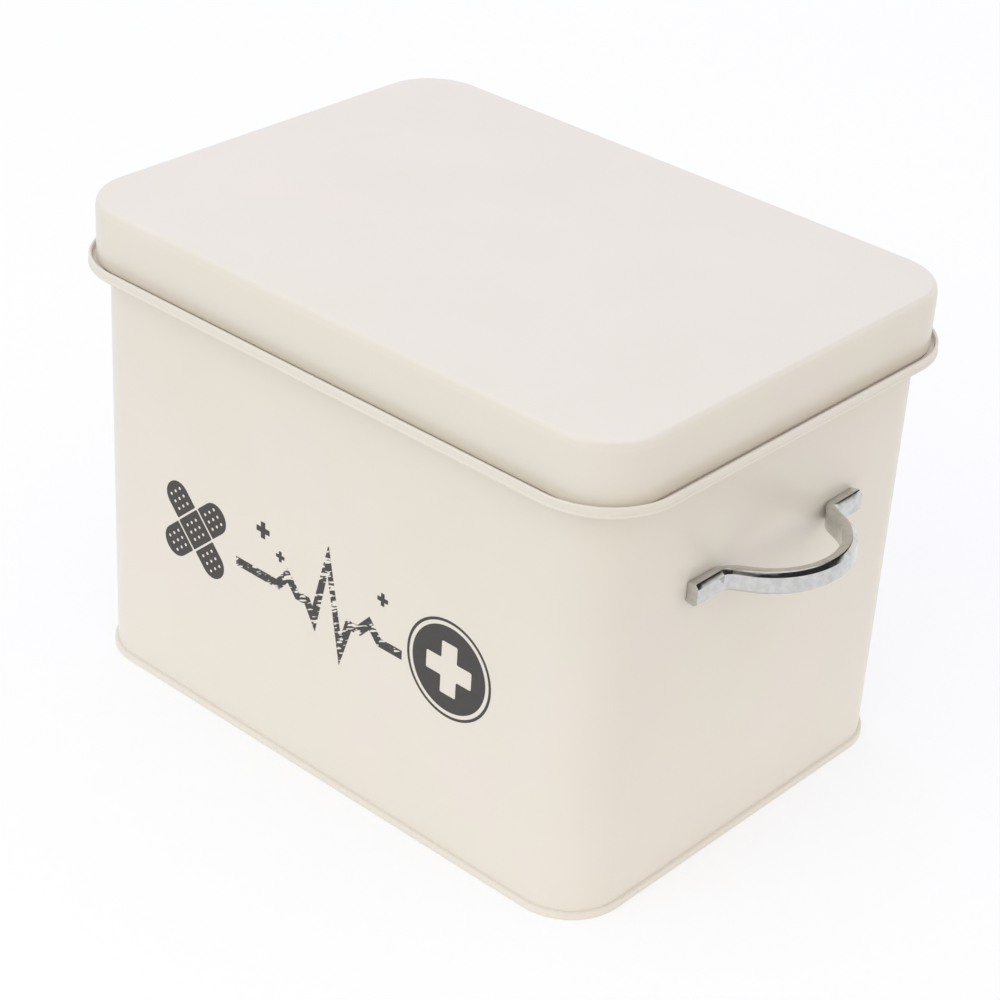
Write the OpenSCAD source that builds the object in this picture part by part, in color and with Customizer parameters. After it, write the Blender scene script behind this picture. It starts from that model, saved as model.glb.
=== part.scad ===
// Lidded sheet-metal medicine case: a wrapped body with a stepped rim, a double-seamed
// base, a drawn lid that drops into the rim, two cast bow handles and a lift-out tray.
// Millimetres. +Z is up, +X is the long side, the origin is the centre of the base.

/* [Body] */
// Length of the body wall, outside
body_w = 250; // [200:1:340]
// Depth of the body wall, outside
body_d = 181; // [150:1:260]
// Radius of the body's upright corners, outside
body_r = 22; // [14:1:34]
// Height of the ledge that carries the lid and the tray
ledge_z = 165.4; // [150:0.2:230]
// Thickness of the coated sheet
sheet_t = 0.4; // [0.3:0.05:0.6]

/* [Rim] */
// Distance of the rim's outer face from the body wall
rim_reach = 8; // [7.4:0.1:12]
// Height of the rim above the ledge
rim_rise = 3.6; // [3.4:0.1:6]
// Gap between the two layers of the rim's folded edge
rim_fold_gap = 0.6; // [0.3:0.1:1]
// Height of the lid's seat inside the rim above the ledge
seat_rise = 1.4; // [1.2:0.1:1.6]
// Inner radius of the sheet's bends at the ledge
ledge_bend_r = 0.8; // [0.4:0.1:1]

/* [Base] */
// Height of the seam that joins the base to the wall
seam_h = 2.7; // [2.2:0.1:4]
// Play between the layers of the seam
seam_play = 0.05; // [0.02:0.01:0.1]
// Height of the recessed floor above the foot of the seam
floor_z = 3; // [2:0.1:6]

/* [Lock seam] */
// Width of the folded seam up the back of the body
lock_w = 8; // [5:0.5:14]
// Height by which the folded seam stands inside the wall
lock_t = 0.8; // [0.4:0.1:1.2]
// Width of the fine groove that shows outside
lock_groove_w = 0.5; // [0.3:0.1:1]
// Depth of the fine groove that shows outside
lock_groove_t = 0.2; // [0.1:0.05:0.25]

/* [Lid] */
// Distance of the lid's skirt from the body wall, outside
lid_reach = 4; // [3.8:0.1:4.8]
// Radius of the lid's upright corners, outside
lid_r = 23.7; // [16:0.1:34]
// Height of the lid above the ledge
lid_h = 25.2; // [18:0.1:45]
// Outer radius of the edge round the lid's top
lid_edge_r = 4.7; // [2:0.1:8]
// Gap between the two layers of the skirt's folded foot
lid_fold_gap = 0.4; // [0.2:0.1:0.6]
// Height of the returned layer inside the skirt
lid_return = 3.2; // [2:0.1:8]
// Gap between the lid's foot and its seat
lid_seat_gap = 0.1; // [0.05:0.05:0.3]

/* [Handle] */
// Length of a handle from end to end
handle_l = 92; // [88:0.5:110]
// Height of the handles' centre above the base
handle_z = 120; // [60:1:121]
// Distance of the bow's outer face from the wall
bow_reach = 29; // [25:0.5:33]
// Radius of the bow's outer face
bow_r = 30.6; // [29:0.2:32]
// Thickness of the bow and the feet
bar_t = 5.2; // [4.8:0.1:6]
// Height of the bar at its widest
bar_h = 9; // [8.4:0.1:11]
// Height of the bar's back face
bar_back_h = 7.4; // [6:0.1:8.2]
// Bevel along the edges of the front face
bar_bevel = 1.4; // [0.6:0.1:1.8]
// Angle between each leg of the bow and the way straight out of the wall
leg_angle = 27; // [24:1:32]
// Upward tilt of the bow
bow_tilt = 4.5; // [0:0.5:6]
// Radius of the bend behind each foot
heel_r = 12; // [6:0.5:13]
// Bevel round the outer end of each foot
foot_bevel = 1; // [0.4:0.1:1.6]
// Length of leg that runs back over the end of the bow's arc
leg_lap = 0.5; // [0.3:0.1:0.8]
// Height by which the legs stand proud of the arc
leg_proud = 0.05; // [0.03:0.01:0.1]

/* [Fasteners] */
// Distance from each end of a handle to its screw
screw_inset = 8; // [6:0.5:9]
// Radius of the screw's shank
screw_r = 1.95; // [1.4:0.05:2.2]
// Length of the screw below its head
screw_l = 5; // [4:0.1:5.4]
// Radius of the screw's head
screw_head_r = 4; // [3.4:0.1:4.3]
// Height of the screw's head
screw_head_h = 2.4; // [2:0.1:3]
// Radius of the sphere that domes the head
screw_dome_r = 7; // [5.5:0.5:12]
// Width of the cross slot in the head
screw_slot_w = 0.9; // [0.6:0.1:1.2]
// Length of the cross slot in the head
screw_slot_l = 4.4; // [3:0.2:5]
// Depth of the cross slot in the head
screw_slot_t = 1.2; // [0.6:0.1:1.4]
// Radius of the washer
washer_r = 4.5; // [4:0.1:5.5]
// Thickness of the washer
washer_t = 0.8; // [0.5:0.1:1.2]
// Play round a shank in the handle's threaded hole
thread_play = 0.05; // [0.02:0.01:0.1]
// Play round a shank in the washer and the wall
hole_play = 0.25; // [0.15:0.05:0.4]
// Depth of hole left beyond the screw's tip
tip_room = 0.4; // [0.2:0.1:0.6]

/* [Tray] */
// Depth of the tray, from its flange to its underside
tray_h = 36.5; // [34:0.5:39]
// Gap between the tray's wall and the body wall, inside
tray_gap = 1.6; // [1.3:0.1:2.4]
// Radius of the bend between the tray's wall and its floor
tray_floor_r = 3; // [1.5:0.5:6]
// Gap between the edge of the tray's flange and the lid's seat
tray_flange_gap = 0.6; // [0.3:0.1:1]
// Gap between the tray's flange and the ledge
tray_seat_gap = 0.1; // [0.05:0.05:0.3]
// Radius of the finger hole in each end of the tray
finger_r = 10; // [8:0.5:11]
// Height of the finger holes' centre above the tray's floor
finger_z = 21; // [16:0.5:22]

/* [Dividers] */
// Height of the dividers
divider_h = 31; // [12:0.5:34]
// Place of the long divider across the tray's depth
divider_y = -14; // [-40:1:40]
// Distance between the two cross dividers
divider_pitch = 80; // [50:1:140]
// Width of the foot that is welded to the tray's floor
divider_foot = 6; // [4:0.5:10]
// Gap between the two layers of a divider's folded top
divider_fold_gap = 0.4; // [0.2:0.1:0.6]
// Depth of the returned layer of a divider's folded top
divider_return = 4; // [2:0.5:8]
// Gap between a divider's end and what it faces
divider_gap = 0.3; // [0.2:0.1:0.6]

/* [Hidden] */
$fn = 96;

// Colours of the coat and of the metals
cream = [0.90, 0.87, 0.83];
chrome = [0.80, 0.81, 0.83];
zinc = [0.68, 0.69, 0.70];

// Length by which joined shapes run into each other
lap = 1;
// Size of the blocks that trim a handle
block = 80;
// Sides of a handle's row: right and left end of the case, front and back screw
right = 1;
left = -1;
front = -1;
back = 1;

// Outer radius of a bend in the sheet at the ledge and under the tray's flange
ledge_bend_out = ledge_bend_r + sheet_t;
// Outer radii of the folded edges
rim_fold_r = sheet_t + rim_fold_gap / 2;
lid_fold_r = sheet_t + lid_fold_gap / 2;
divider_fold_r = sheet_t + divider_fold_gap / 2;

// Heights of the rim, the lid and the tray
rim_top = ledge_z + rim_rise;
seat_z = ledge_z + seat_rise;
lid_foot = seat_z + lid_seat_gap;
lid_top = ledge_z + lid_h;
tray_top = ledge_z + tray_seat_gap + sheet_t;
tray_foot = tray_top - tray_h;
tray_floor = tray_foot + sheet_t;

// One layer of the seam with its play
layer = sheet_t + seam_play;

// Outlines of the lid, of its seat's inner edge and of the tray's wall
lid_w = body_w + 2 * lid_reach;
lid_d = body_d + 2 * lid_reach;
seat_edge = lid_reach - 2 * lid_fold_r;
tray_inset = sheet_t + tray_gap;
tray_w = body_w - 2 * tray_inset;
tray_d = body_d - 2 * tray_inset;
tray_r = body_r - tray_inset;
tray_flange = tray_inset + seat_edge - tray_flange_gap;

// Holes for the screws, and how far a screw reaches into a handle
hole_r = screw_r + hole_play;
thread_r = screw_r + thread_play;
screw_grip = screw_l - washer_t - sheet_t;
screw_pitch = handle_l - 2 * screw_inset;

// Plan of a handle: the bow's centre and inner radius, and where leg and foot meet
bow_c = bow_reach - bow_r;
bow_in = bow_r - bar_t;
bow_turn = 90 - leg_angle;
heel_y = bow_in * cos(leg_angle) + (bow_c + bow_in * sin(leg_angle)) * tan(leg_angle);
heel_l = heel_r * tan(bow_turn / 2);

// A flat quarter ring, which is a bend in sheet seen from its end
module bend(r_in, r_out, start) {
    intersection() {
        difference() {
            circle(r = r_out);
            circle(r = r_in);
        }
        rotate(start) square(2 * r_out);
    }
}

// A flat half ring, which is a folded edge seen from its end, with its crown towards side
module fold(r_out, side) {
    intersection() {
        difference() {
            circle(r = r_out);
            circle(r = r_out - sheet_t);
        }
        translate([0, side * r_out]) square([4 * r_out, 2 * r_out], center = true);
    }
}

// A strip of a profile, from its low corner to its high corner
module strip(x0, z0, x1, z1) {
    translate([x0, z0]) square([x1 - x0, z1 - z0]);
}

// A rectangle with round corners, drawn in by an inset
module round_plan(w, d, r, inset) {
    cw = w / 2 - r;
    cd = d / 2 - r;
    square([2 * cw, d - 2 * inset], center = true);
    square([w - 2 * inset, 2 * cd], center = true);
    for (sx = [-1, 1], sy = [-1, 1]) translate([sx * cw, sy * cd]) circle(r = r - inset);
}

// A profile along one straight side and round the corner after it, its X pointing outwards
module side_and_corner(reach, length, r) {
    translate([reach, length / 2, 0]) rotate([90, 0, 0]) linear_extrude(height = length)
        children();
    translate([reach - r, length / 2, 0]) rotate_extrude(angle = 90) translate([r, 0])
        children();
}

// A profile all the way round a rectangle with round corners
module round_the_case(w, d, r) {
    for (turn = [0, 180]) rotate([0, 0, turn]) side_and_corner(w / 2, d - 2 * r, r) children();
    for (turn = [90, 270]) rotate([0, 0, turn]) side_and_corner(d / 2, w - 2 * r, r) children();
}

// The wall, the ledge, the folded rim and the lid's seat in section, with the seam's hook
module body_profile() {
    hook = 2 * layer;
    rim_in = rim_reach - 2 * rim_fold_r;
    seat_bend_r = sheet_t;
    strip(-sheet_t, layer, 0, ledge_z - ledge_bend_out);
    translate([ledge_bend_r, ledge_z - ledge_bend_out]) bend(ledge_bend_r, ledge_bend_out, 90);
    strip(ledge_bend_r, ledge_z - sheet_t, rim_reach - ledge_bend_out, ledge_z);
    translate([rim_reach - ledge_bend_out, ledge_z + ledge_bend_r])
        bend(ledge_bend_r, ledge_bend_out, 270);
    strip(rim_reach - sheet_t, ledge_z + ledge_bend_r, rim_reach, rim_top - rim_fold_r);
    translate([rim_reach - rim_fold_r, rim_top - rim_fold_r]) fold(rim_fold_r, 1);
    strip(rim_in, seat_z + seat_bend_r, rim_in + sheet_t, rim_top - rim_fold_r);
    translate([rim_in - seat_bend_r, seat_z + seat_bend_r])
        bend(seat_bend_r, seat_bend_r + sheet_t, 270);
    strip(seat_edge, seat_z - sheet_t, rim_in - seat_bend_r, seat_z);
    strip(-sheet_t, layer, hook, layer + sheet_t);
    strip(hook - sheet_t, layer, hook, seam_h - layer);
}

// The body: one sheet, wrapped round, locked up the back and drilled for the handles
module body() {
    lock_foot = floor_z + sheet_t + lap;
    lock_top = ledge_z - ledge_bend_out - lap;
    color(cream) difference() {
        union() {
            round_the_case(body_w, body_d, body_r) body_profile();
            translate([-lock_w / 2, body_d / 2 - sheet_t - lock_t, lock_foot])
                cube([lock_w, lock_t + sheet_t / 2, lock_top - lock_foot]);
        }
        translate([lock_w / 2, body_d / 2 - lock_groove_t, lock_foot])
            cube([lock_groove_w, lock_groove_t + lap, lock_top - lock_foot]);
        for (side = [left, right], row = [front, back])
            at_screw(side, row) translate([0, 0, -lap]) cylinder(r = hole_r, h = sheet_t + 2 * lap);
    }
}

// The base's edge in section: with the wall's hook it makes the five layers of the seam
module seam_profile() {
    inner = -sheet_t - layer;
    outer = 3 * layer;
    strip(inner, 0, inner + sheet_t, floor_z + sheet_t);
    strip(inner, 0, outer - sheet_t, sheet_t);
    translate([outer - sheet_t, sheet_t]) intersection() {
        circle(r = sheet_t);
        translate([0, -sheet_t]) square(sheet_t);
    }
    strip(outer - sheet_t, sheet_t, outer, seam_h - sheet_t);
    translate([outer - sheet_t, seam_h - sheet_t]) intersection() {
        circle(r = sheet_t);
        square(sheet_t);
    }
    strip(seam_play, seam_h - sheet_t, outer - sheet_t, seam_h);
    strip(seam_play, 2 * layer + seam_play, layer, seam_h);
}

// The base: a stamped floor, recessed inside the seam that it is part of
module base_panel() {
    color(cream) {
        round_the_case(body_w, body_d, body_r) seam_profile();
        translate([0, 0, floor_z]) linear_extrude(height = sheet_t)
            round_plan(body_w, body_d, body_r, layer + sheet_t / 2);
    }
}

// The lid's skirt and top edge in section, with the foot folded inwards
module lid_profile() {
    fold_z = lid_foot + lid_fold_r;
    strip(-sheet_t, fold_z, 0, lid_top - lid_edge_r);
    translate([-lid_edge_r, lid_top - lid_edge_r]) bend(lid_edge_r - sheet_t, lid_edge_r, 0);
    strip(-lid_edge_r - lap, lid_top - sheet_t, -lid_edge_r, lid_top);
    translate([-lid_fold_r, fold_z]) fold(lid_fold_r, -1);
    strip(-2 * lid_fold_r, fold_z, sheet_t - 2 * lid_fold_r, fold_z + lid_return);
}

// The lid: one drawn shell
module lid() {
    color(cream) {
        round_the_case(lid_w, lid_d, lid_r) lid_profile();
        translate([0, 0, lid_top - sheet_t]) linear_extrude(height = sheet_t)
            round_plan(lid_w, lid_d, lid_r, lid_edge_r + lap / 2);
    }
}

// The bar in section, grown by the height that it stands proud
module bar_profile(proud) {
    edge = bar_t - bar_bevel;
    back_half = bar_back_h / 2 + proud;
    half = bar_h / 2 + proud;
    polygon([[-proud, -back_half], [edge, -half], [bar_t + proud, -half + bar_bevel],
             [bar_t + proud, half - bar_bevel], [edge, half], [-proud, back_half]]);
}

// A length of the handle's bar along +Y, its back face on the plane x = 0
module bar(length, proud) {
    translate([0, length, 0]) rotate([90, 0, 0]) linear_extrude(height = length)
        bar_profile(proud);
}

// A block on one side of the mitre between leg and foot, which leaves them a lap
module mitre_block(side) {
    translate([0, heel_y, 0]) rotate([0, 0, bow_turn / 2])
        translate([0, side * (block + lap) / 2, 0]) cube(block, center = true);
}

// One foot: a bar, mitred where the leg leaves it and bevelled round its outer end
module foot() {
    start = heel_y - lap;
    end = handle_l / 2;
    difference() {
        translate([0, start, 0]) bar(end - start, 0);
        mitre_block(-1);
        for (up = [0, 1]) mirror([0, 0, up])
            translate([0, end - foot_bevel, bar_h / 2]) rotate([45, 0, 0])
                translate([-block / 2, 0, -block / 2]) cube(block);
        translate([bar_t, end - foot_bevel, 0]) rotate([0, 0, 45])
            translate([0, -block / 2, -block / 2]) cube(block);
    }
}

// The bow: an arc and two straight legs, tilted upwards and cut at the mitres
module bow() {
    leg = (bow_c + bow_r * sin(leg_angle)) / cos(leg_angle) + lap;
    difference() {
        translate([bar_t / 2, 0, 0]) rotate([0, -bow_tilt, 0])
            translate([bow_c - bar_t / 2, 0, 0]) {
                rotate([0, 0, -bow_turn]) rotate_extrude(angle = 2 * bow_turn)
                    translate([bow_in, 0]) bar_profile(0);
                for (row = [0, 1]) mirror([0, row, 0]) rotate([0, 0, bow_turn])
                    translate([bow_in, -leg_lap, 0]) bar(leg_lap + leg, leg_proud);
            }
        for (row = [0, 1]) mirror([0, row, 0]) mitre_block(1);
    }
}

// What the round heel takes off the corner behind a foot
module heel_cut() {
    leg_w = heel_l * cos(leg_angle);
    leg_y = heel_y - heel_l * sin(leg_angle);
    linear_extrude(height = 2 * bar_h, center = true) difference() {
        polygon([[0, heel_y + heel_l], [leg_w, leg_y], [leg_w - lap, leg_y - lap],
                 [-lap, heel_y - lap], [-lap, heel_y + heel_l]]);
        translate([heel_r, heel_y + heel_l]) circle(r = heel_r);
    }
}

// A handle: one casting with a blind threaded hole in each foot
module handle(side) {
    hole = screw_grip + tip_room;
    color(chrome) mirror([side == left ? 1 : 0, 0, 0]) translate([body_w / 2, 0, handle_z])
        difference() {
            union() {
                bow();
                for (row = [0, 1]) mirror([0, row, 0]) foot();
            }
            for (row = [0, 1]) mirror([0, row, 0]) {
                heel_cut();
                translate([-lap, screw_pitch / 2, 0]) rotate([0, 90, 0])
                    cylinder(r = thread_r, h = hole + lap);
            }
        }
}
module right_handle() { handle(right); }
module left_handle() { handle(left); }

// Places a shape at a screw point on the wall's inner face, with +Z pointing outwards
module at_screw(side, row) {
    translate([side * (body_w / 2 - sheet_t), row * screw_pitch / 2, handle_z])
        rotate([0, side * 90, 0]) children();
}

// A pan-head screw, driven from inside the case
module screw(side, row) {
    color(zinc) at_screw(side, row) translate([0, 0, -washer_t]) {
        cylinder(r = screw_r, h = screw_l);
        difference() {
            intersection() {
                translate([0, 0, -screw_head_h]) cylinder(r = screw_head_r, h = screw_head_h);
                translate([0, 0, screw_dome_r - screw_head_h]) sphere(r = screw_dome_r);
            }
            for (turn = [0, 90]) rotate([0, 0, turn])
                translate([-screw_slot_l / 2, -screw_slot_w / 2, -screw_head_h - lap])
                    cube([screw_slot_l, screw_slot_w, screw_slot_t + lap]);
        }
    }
}
module right_front_screw() { screw(right, front); }
module right_back_screw() { screw(right, back); }
module left_front_screw() { screw(left, front); }
module left_back_screw() { screw(left, back); }

// A washer between a screw's head and the wall
module washer(side, row) {
    color(zinc) at_screw(side, row) translate([0, 0, -washer_t]) difference() {
        cylinder(r = washer_r, h = washer_t);
        translate([0, 0, -lap]) cylinder(r = hole_r, h = washer_t + 2 * lap);
    }
}
module right_front_washer() { washer(right, front); }
module right_back_washer() { washer(right, back); }
module left_front_washer() { washer(left, front); }
module left_back_washer() { washer(left, back); }

// The tray's wall in section, with its bend to the floor and its hanging flange
module tray_profile() {
    strip(-tray_floor_r - lap, tray_foot, -tray_floor_r, tray_floor);
    translate([-tray_floor_r, tray_foot + tray_floor_r])
        bend(tray_floor_r - sheet_t, tray_floor_r, 270);
    strip(-sheet_t, tray_foot + tray_floor_r, 0, tray_top - ledge_bend_out);
    translate([ledge_bend_r, tray_top - ledge_bend_out]) bend(ledge_bend_r, ledge_bend_out, 90);
    strip(ledge_bend_r, tray_top - sheet_t, tray_flange, tray_top);
}

// The tray: one drawn pan with a finger hole in each end
module tray() {
    color(cream) difference() {
        union() {
            round_the_case(tray_w, tray_d, tray_r) tray_profile();
            translate([0, 0, tray_foot]) linear_extrude(height = sheet_t)
                round_plan(tray_w, tray_d, tray_r, tray_floor_r + lap / 2);
        }
        translate([-tray_w, 0, tray_floor + finger_z]) rotate([0, 90, 0])
            cylinder(r = finger_r, h = 2 * tray_w);
    }
}

// A divider in section: a plate with a folded top and a foot, both towards +X
module divider_profile() {
    fold_z = divider_h - divider_fold_r;
    return_x = 2 * divider_fold_r - sheet_t;
    strip(0, ledge_bend_out, sheet_t, fold_z);
    translate([ledge_bend_out, ledge_bend_out]) bend(ledge_bend_r, ledge_bend_out, 180);
    strip(ledge_bend_out, 0, divider_foot, sheet_t);
    translate([divider_fold_r, fold_z]) fold(divider_fold_r, 1);
    strip(return_x, fold_z - divider_return, return_x + sheet_t, fold_z);
}

// A length of divider along +Y, its corners cut to clear the bend of the tray's floor
module divider(length, cut_both) {
    difference() {
        translate([0, length, 0]) rotate([90, 0, 0]) linear_extrude(height = length)
            divider_profile();
        for (end = cut_both ? [0, 1] : [1])
            translate([0, end * length, 0]) rotate([45, 0, 0])
                cube([4 * divider_foot, tray_floor_r * sqrt(2), tray_floor_r * sqrt(2)],
                     center = true);
    }
}

// The long divider, from end to end of the tray
module tray_long_divider() {
    length = tray_w - 2 * sheet_t - 2 * divider_gap;
    color(cream) translate([length / 2, divider_y, tray_floor]) rotate([0, 0, 90])
        mirror([1, 0, 0]) divider(length, true);
}

// A cross divider, from the long divider to the tray's back wall
module cross_divider(side) {
    start = divider_y + divider_gap;
    color(cream) translate([side * divider_pitch / 2, start, tray_floor])
        mirror([side == right ? 0 : 1, 0, 0])
            divider(tray_d / 2 - sheet_t - divider_gap - start, false);
}
module tray_left_divider() { cross_divider(left); }
module tray_right_divider() { cross_divider(right); }

body();
base_panel();
lid();
right_handle();
left_handle();
right_front_screw();
right_back_screw();
left_front_screw();
left_back_screw();
right_front_washer();
right_back_washer();
left_front_washer();
left_back_washer();
tray();
tray_long_divider();
tray_left_divider();
tray_right_divider();
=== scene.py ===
"""Looks of the lidded sheet-metal medicine case: coated tinplate, chromed bow handles, a screen print."""

import math

import bmesh
import bpy
from mathutils import Matrix, Vector


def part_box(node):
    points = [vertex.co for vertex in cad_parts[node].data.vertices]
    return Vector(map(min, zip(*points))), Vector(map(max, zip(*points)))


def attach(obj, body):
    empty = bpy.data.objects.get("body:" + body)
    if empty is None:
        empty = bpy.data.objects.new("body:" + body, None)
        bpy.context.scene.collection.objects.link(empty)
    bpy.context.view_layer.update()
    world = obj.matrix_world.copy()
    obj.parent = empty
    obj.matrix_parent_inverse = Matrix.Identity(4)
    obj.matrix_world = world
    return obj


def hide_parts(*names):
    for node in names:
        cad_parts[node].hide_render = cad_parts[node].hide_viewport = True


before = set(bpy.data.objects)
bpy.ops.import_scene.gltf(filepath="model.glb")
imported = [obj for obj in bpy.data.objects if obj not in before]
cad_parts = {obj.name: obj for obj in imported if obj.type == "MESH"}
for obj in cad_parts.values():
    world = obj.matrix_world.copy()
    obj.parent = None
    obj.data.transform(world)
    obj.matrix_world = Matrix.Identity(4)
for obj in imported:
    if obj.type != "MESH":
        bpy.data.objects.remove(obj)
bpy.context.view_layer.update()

MM = 0.001

# Points this close become one, and a face this close to a plane lies on it
MERGE = 0.002 * MM
ON_PLANE = 0.01 * MM

# Lower and upper corners of pieces of the frame
rim_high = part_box("body")[1]
lid_low, lid_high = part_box("lid")
seam_low, seam_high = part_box("base_panel")
handle_low, handle_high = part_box("right_handle")

# Sheet and wall
SHEET = 0.4 * MM
RIM_REACH = 8.0 * MM
WALL_X = rim_high.x - RIM_REACH
WALL_Y = rim_high.y - RIM_REACH
WALL_R = 22.0 * MM

# Camera, fitted to the photograph's edges
CAMERA_PLACE = (0.55414, -0.64349, 0.58323)
CAMERA_TURN = (59.3865, -3.1583, 42.4712)
CAMERA_LENS = 94.785
CAMERA_SENSOR = 36
CAMERA_RANGE = (0.05, 20)


def linear(hex_colour):
    """Linear RGBA of an sRGB hex colour."""
    parts = [int(hex_colour[i:i + 2], 16) / 255 for i in (1, 3, 5)]
    return tuple(c / 12.92 if c <= 0.04045 else ((c + 0.055) / 1.055) ** 2.4 for c in parts) + (1.0,)


# Materials

def add(tree, kind, settings, links=()):
    """Adds a node with its settings, and its links as (from socket, input name or number).
    A Mix node of colours has its share at input 0 and its two colours at 6 and 7."""
    node = tree.nodes.new(kind)
    for key, value in settings.items():
        if isinstance(key, int) or key in node.inputs:
            node.inputs[key].default_value = value
        else:
            setattr(node, key, value)
    for source, key in links:
        tree.links.new(source, node.inputs[key])
    return node


def new_material(name):
    """An empty material, its tree and its output node."""
    material = bpy.data.materials.new(name)
    material.use_nodes = True
    tree = material.node_tree
    tree.nodes.clear()
    return material, tree, tree.nodes.new("ShaderNodeOutputMaterial")


def powder_coat(name, base_hex, shade_hex, blush_hex):
    """Cream polyester powder coat, sprayed dry and baked on tinplate: a satin skin that flows into a
    faint orange peel, with soft cloudy differences in its thickness and a warmer blush here and there."""
    cloud_size, peel_size, grain_size, buckle_size = 45 * MM, 1.3 * MM, 0.35 * MM, 90 * MM
    blush_size = cloud_size / 0.7
    peel_depth, grain_depth, buckle_depth = 0.012 * MM, 0.004 * MM, 0.35 * MM
    material, tree, out = new_material(name)
    place = add(tree, "ShaderNodeTexCoord", {}).outputs["Object"]
    cloud = add(tree, "ShaderNodeTexNoise",
                {"Scale": 1 / cloud_size, "Detail": 3.0, "Roughness": 0.55}, [(place, "Vector")])
    blush = add(tree, "ShaderNodeTexNoise",
                {"Scale": 1 / blush_size, "Detail": 2.0, "Roughness": 0.5}, [(place, "Vector")])
    blush_share = add(tree, "ShaderNodeMapRange",
                      {"From Min": 0.52, "From Max": 0.74, "To Min": 0.0, "To Max": 0.55},
                      [(blush.outputs["Fac"], "Value")])
    body_tone = add(tree, "ShaderNodeMix", {"data_type": "RGBA", 6: linear(base_hex), 7: linear(shade_hex)},
                    [(cloud.outputs["Fac"], 0)])
    tone = add(tree, "ShaderNodeMix", {"data_type": "RGBA", 7: linear(blush_hex)},
               [(blush_share.outputs["Result"], 0), (body_tone.outputs[2], 6)])
    peel = add(tree, "ShaderNodeTexNoise", {"Scale": 1 / peel_size, "Detail": 1.0}, [(place, "Vector")])
    grain = add(tree, "ShaderNodeTexNoise", {"Scale": 1 / grain_size, "Detail": 1.0}, [(place, "Vector")])
    buckle = add(tree, "ShaderNodeTexNoise", {"Scale": 1 / buckle_size, "Detail": 1.0}, [(place, "Vector")])
    sheet_bump = add(tree, "ShaderNodeBump", {"Strength": 1.0, "Distance": buckle_depth},
                     [(buckle.outputs["Fac"], "Height")])
    peel_bump = add(tree, "ShaderNodeBump", {"Strength": 1.0, "Distance": peel_depth},
                    [(peel.outputs["Fac"], "Height"), (sheet_bump.outputs["Normal"], "Normal")])
    grain_bump = add(tree, "ShaderNodeBump", {"Strength": 1.0, "Distance": grain_depth},
                     [(grain.outputs["Fac"], "Height"), (peel_bump.outputs["Normal"], "Normal")])
    rough = add(tree, "ShaderNodeMapRange",
                {"From Min": 0.3, "From Max": 0.7, "To Min": 0.29, "To Max": 0.34},
                [(cloud.outputs["Fac"], "Value")])
    coat = add(tree, "ShaderNodeBsdfPrincipled", {"IOR": 1.5},
               [(tone.outputs[2], "Base Color"), (rough.outputs["Result"], "Roughness"),
                (grain_bump.outputs["Normal"], "Normal")])
    tree.links.new(coat.outputs[0], out.inputs["Surface"])
    return material


def bright_chrome():
    """Decorative chrome plate over a polished zinc die casting: mirror bright, with the casting's
    slight ripple left under the plate, a few hair-fine polishing marks and thin patches of haze.
    The marks run along the handle, so their pattern is stretched that way."""
    ripple_size, mark_size, haze_size = 5 * MM, 0.25 * MM, 3 * MM
    ripple_depth, mark_depth, mark_stretch = 0.05 * MM, 0.0015 * MM, 0.12
    material, tree, out = new_material("bright_chrome_on_polished_casting")
    place = add(tree, "ShaderNodeTexCoord", {}).outputs["Object"]
    ripple = add(tree, "ShaderNodeTexNoise", {"Scale": 1 / ripple_size, "Detail": 1.5}, [(place, "Vector")])
    along = add(tree, "ShaderNodeMapping", {"Scale": (1.0, mark_stretch, 1.0)}, [(place, "Vector")])
    marks = add(tree, "ShaderNodeTexNoise", {"Scale": 1 / mark_size, "Detail": 2.0},
                [(along.outputs["Vector"], "Vector")])
    ripple_bump = add(tree, "ShaderNodeBump", {"Strength": 1.0, "Distance": ripple_depth},
                      [(ripple.outputs["Fac"], "Height")])
    mark_bump = add(tree, "ShaderNodeBump", {"Strength": 1.0, "Distance": mark_depth},
                    [(marks.outputs["Fac"], "Height"), (ripple_bump.outputs["Normal"], "Normal")])
    haze = add(tree, "ShaderNodeTexNoise", {"Scale": 1 / haze_size, "Detail": 2.0, "Roughness": 0.5},
               [(place, "Vector")])
    rough = add(tree, "ShaderNodeMapRange",
                {"From Min": 0.35, "From Max": 0.7, "To Min": 0.06, "To Max": 0.2},
                [(haze.outputs["Fac"], "Value")])
    dull = add(tree, "ShaderNodeMapRange", {"From Min": 0.38, "From Max": 0.66},
               [(haze.outputs["Fac"], "Value")])
    tone = add(tree, "ShaderNodeMix", {"data_type": "RGBA", 6: linear("#D1D1CF"), 7: linear("#C6C5C2")},
               [(dull.outputs["Result"], 0)])
    plate = add(tree, "ShaderNodeBsdfPrincipled", {"Metallic": 1.0},
                [(tone.outputs[2], "Base Color"), (rough.outputs["Result"], "Roughness"),
                 (mark_bump.outputs["Normal"], "Normal")])
    tree.links.new(plate.outputs[0], out.inputs["Surface"])
    return material


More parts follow.
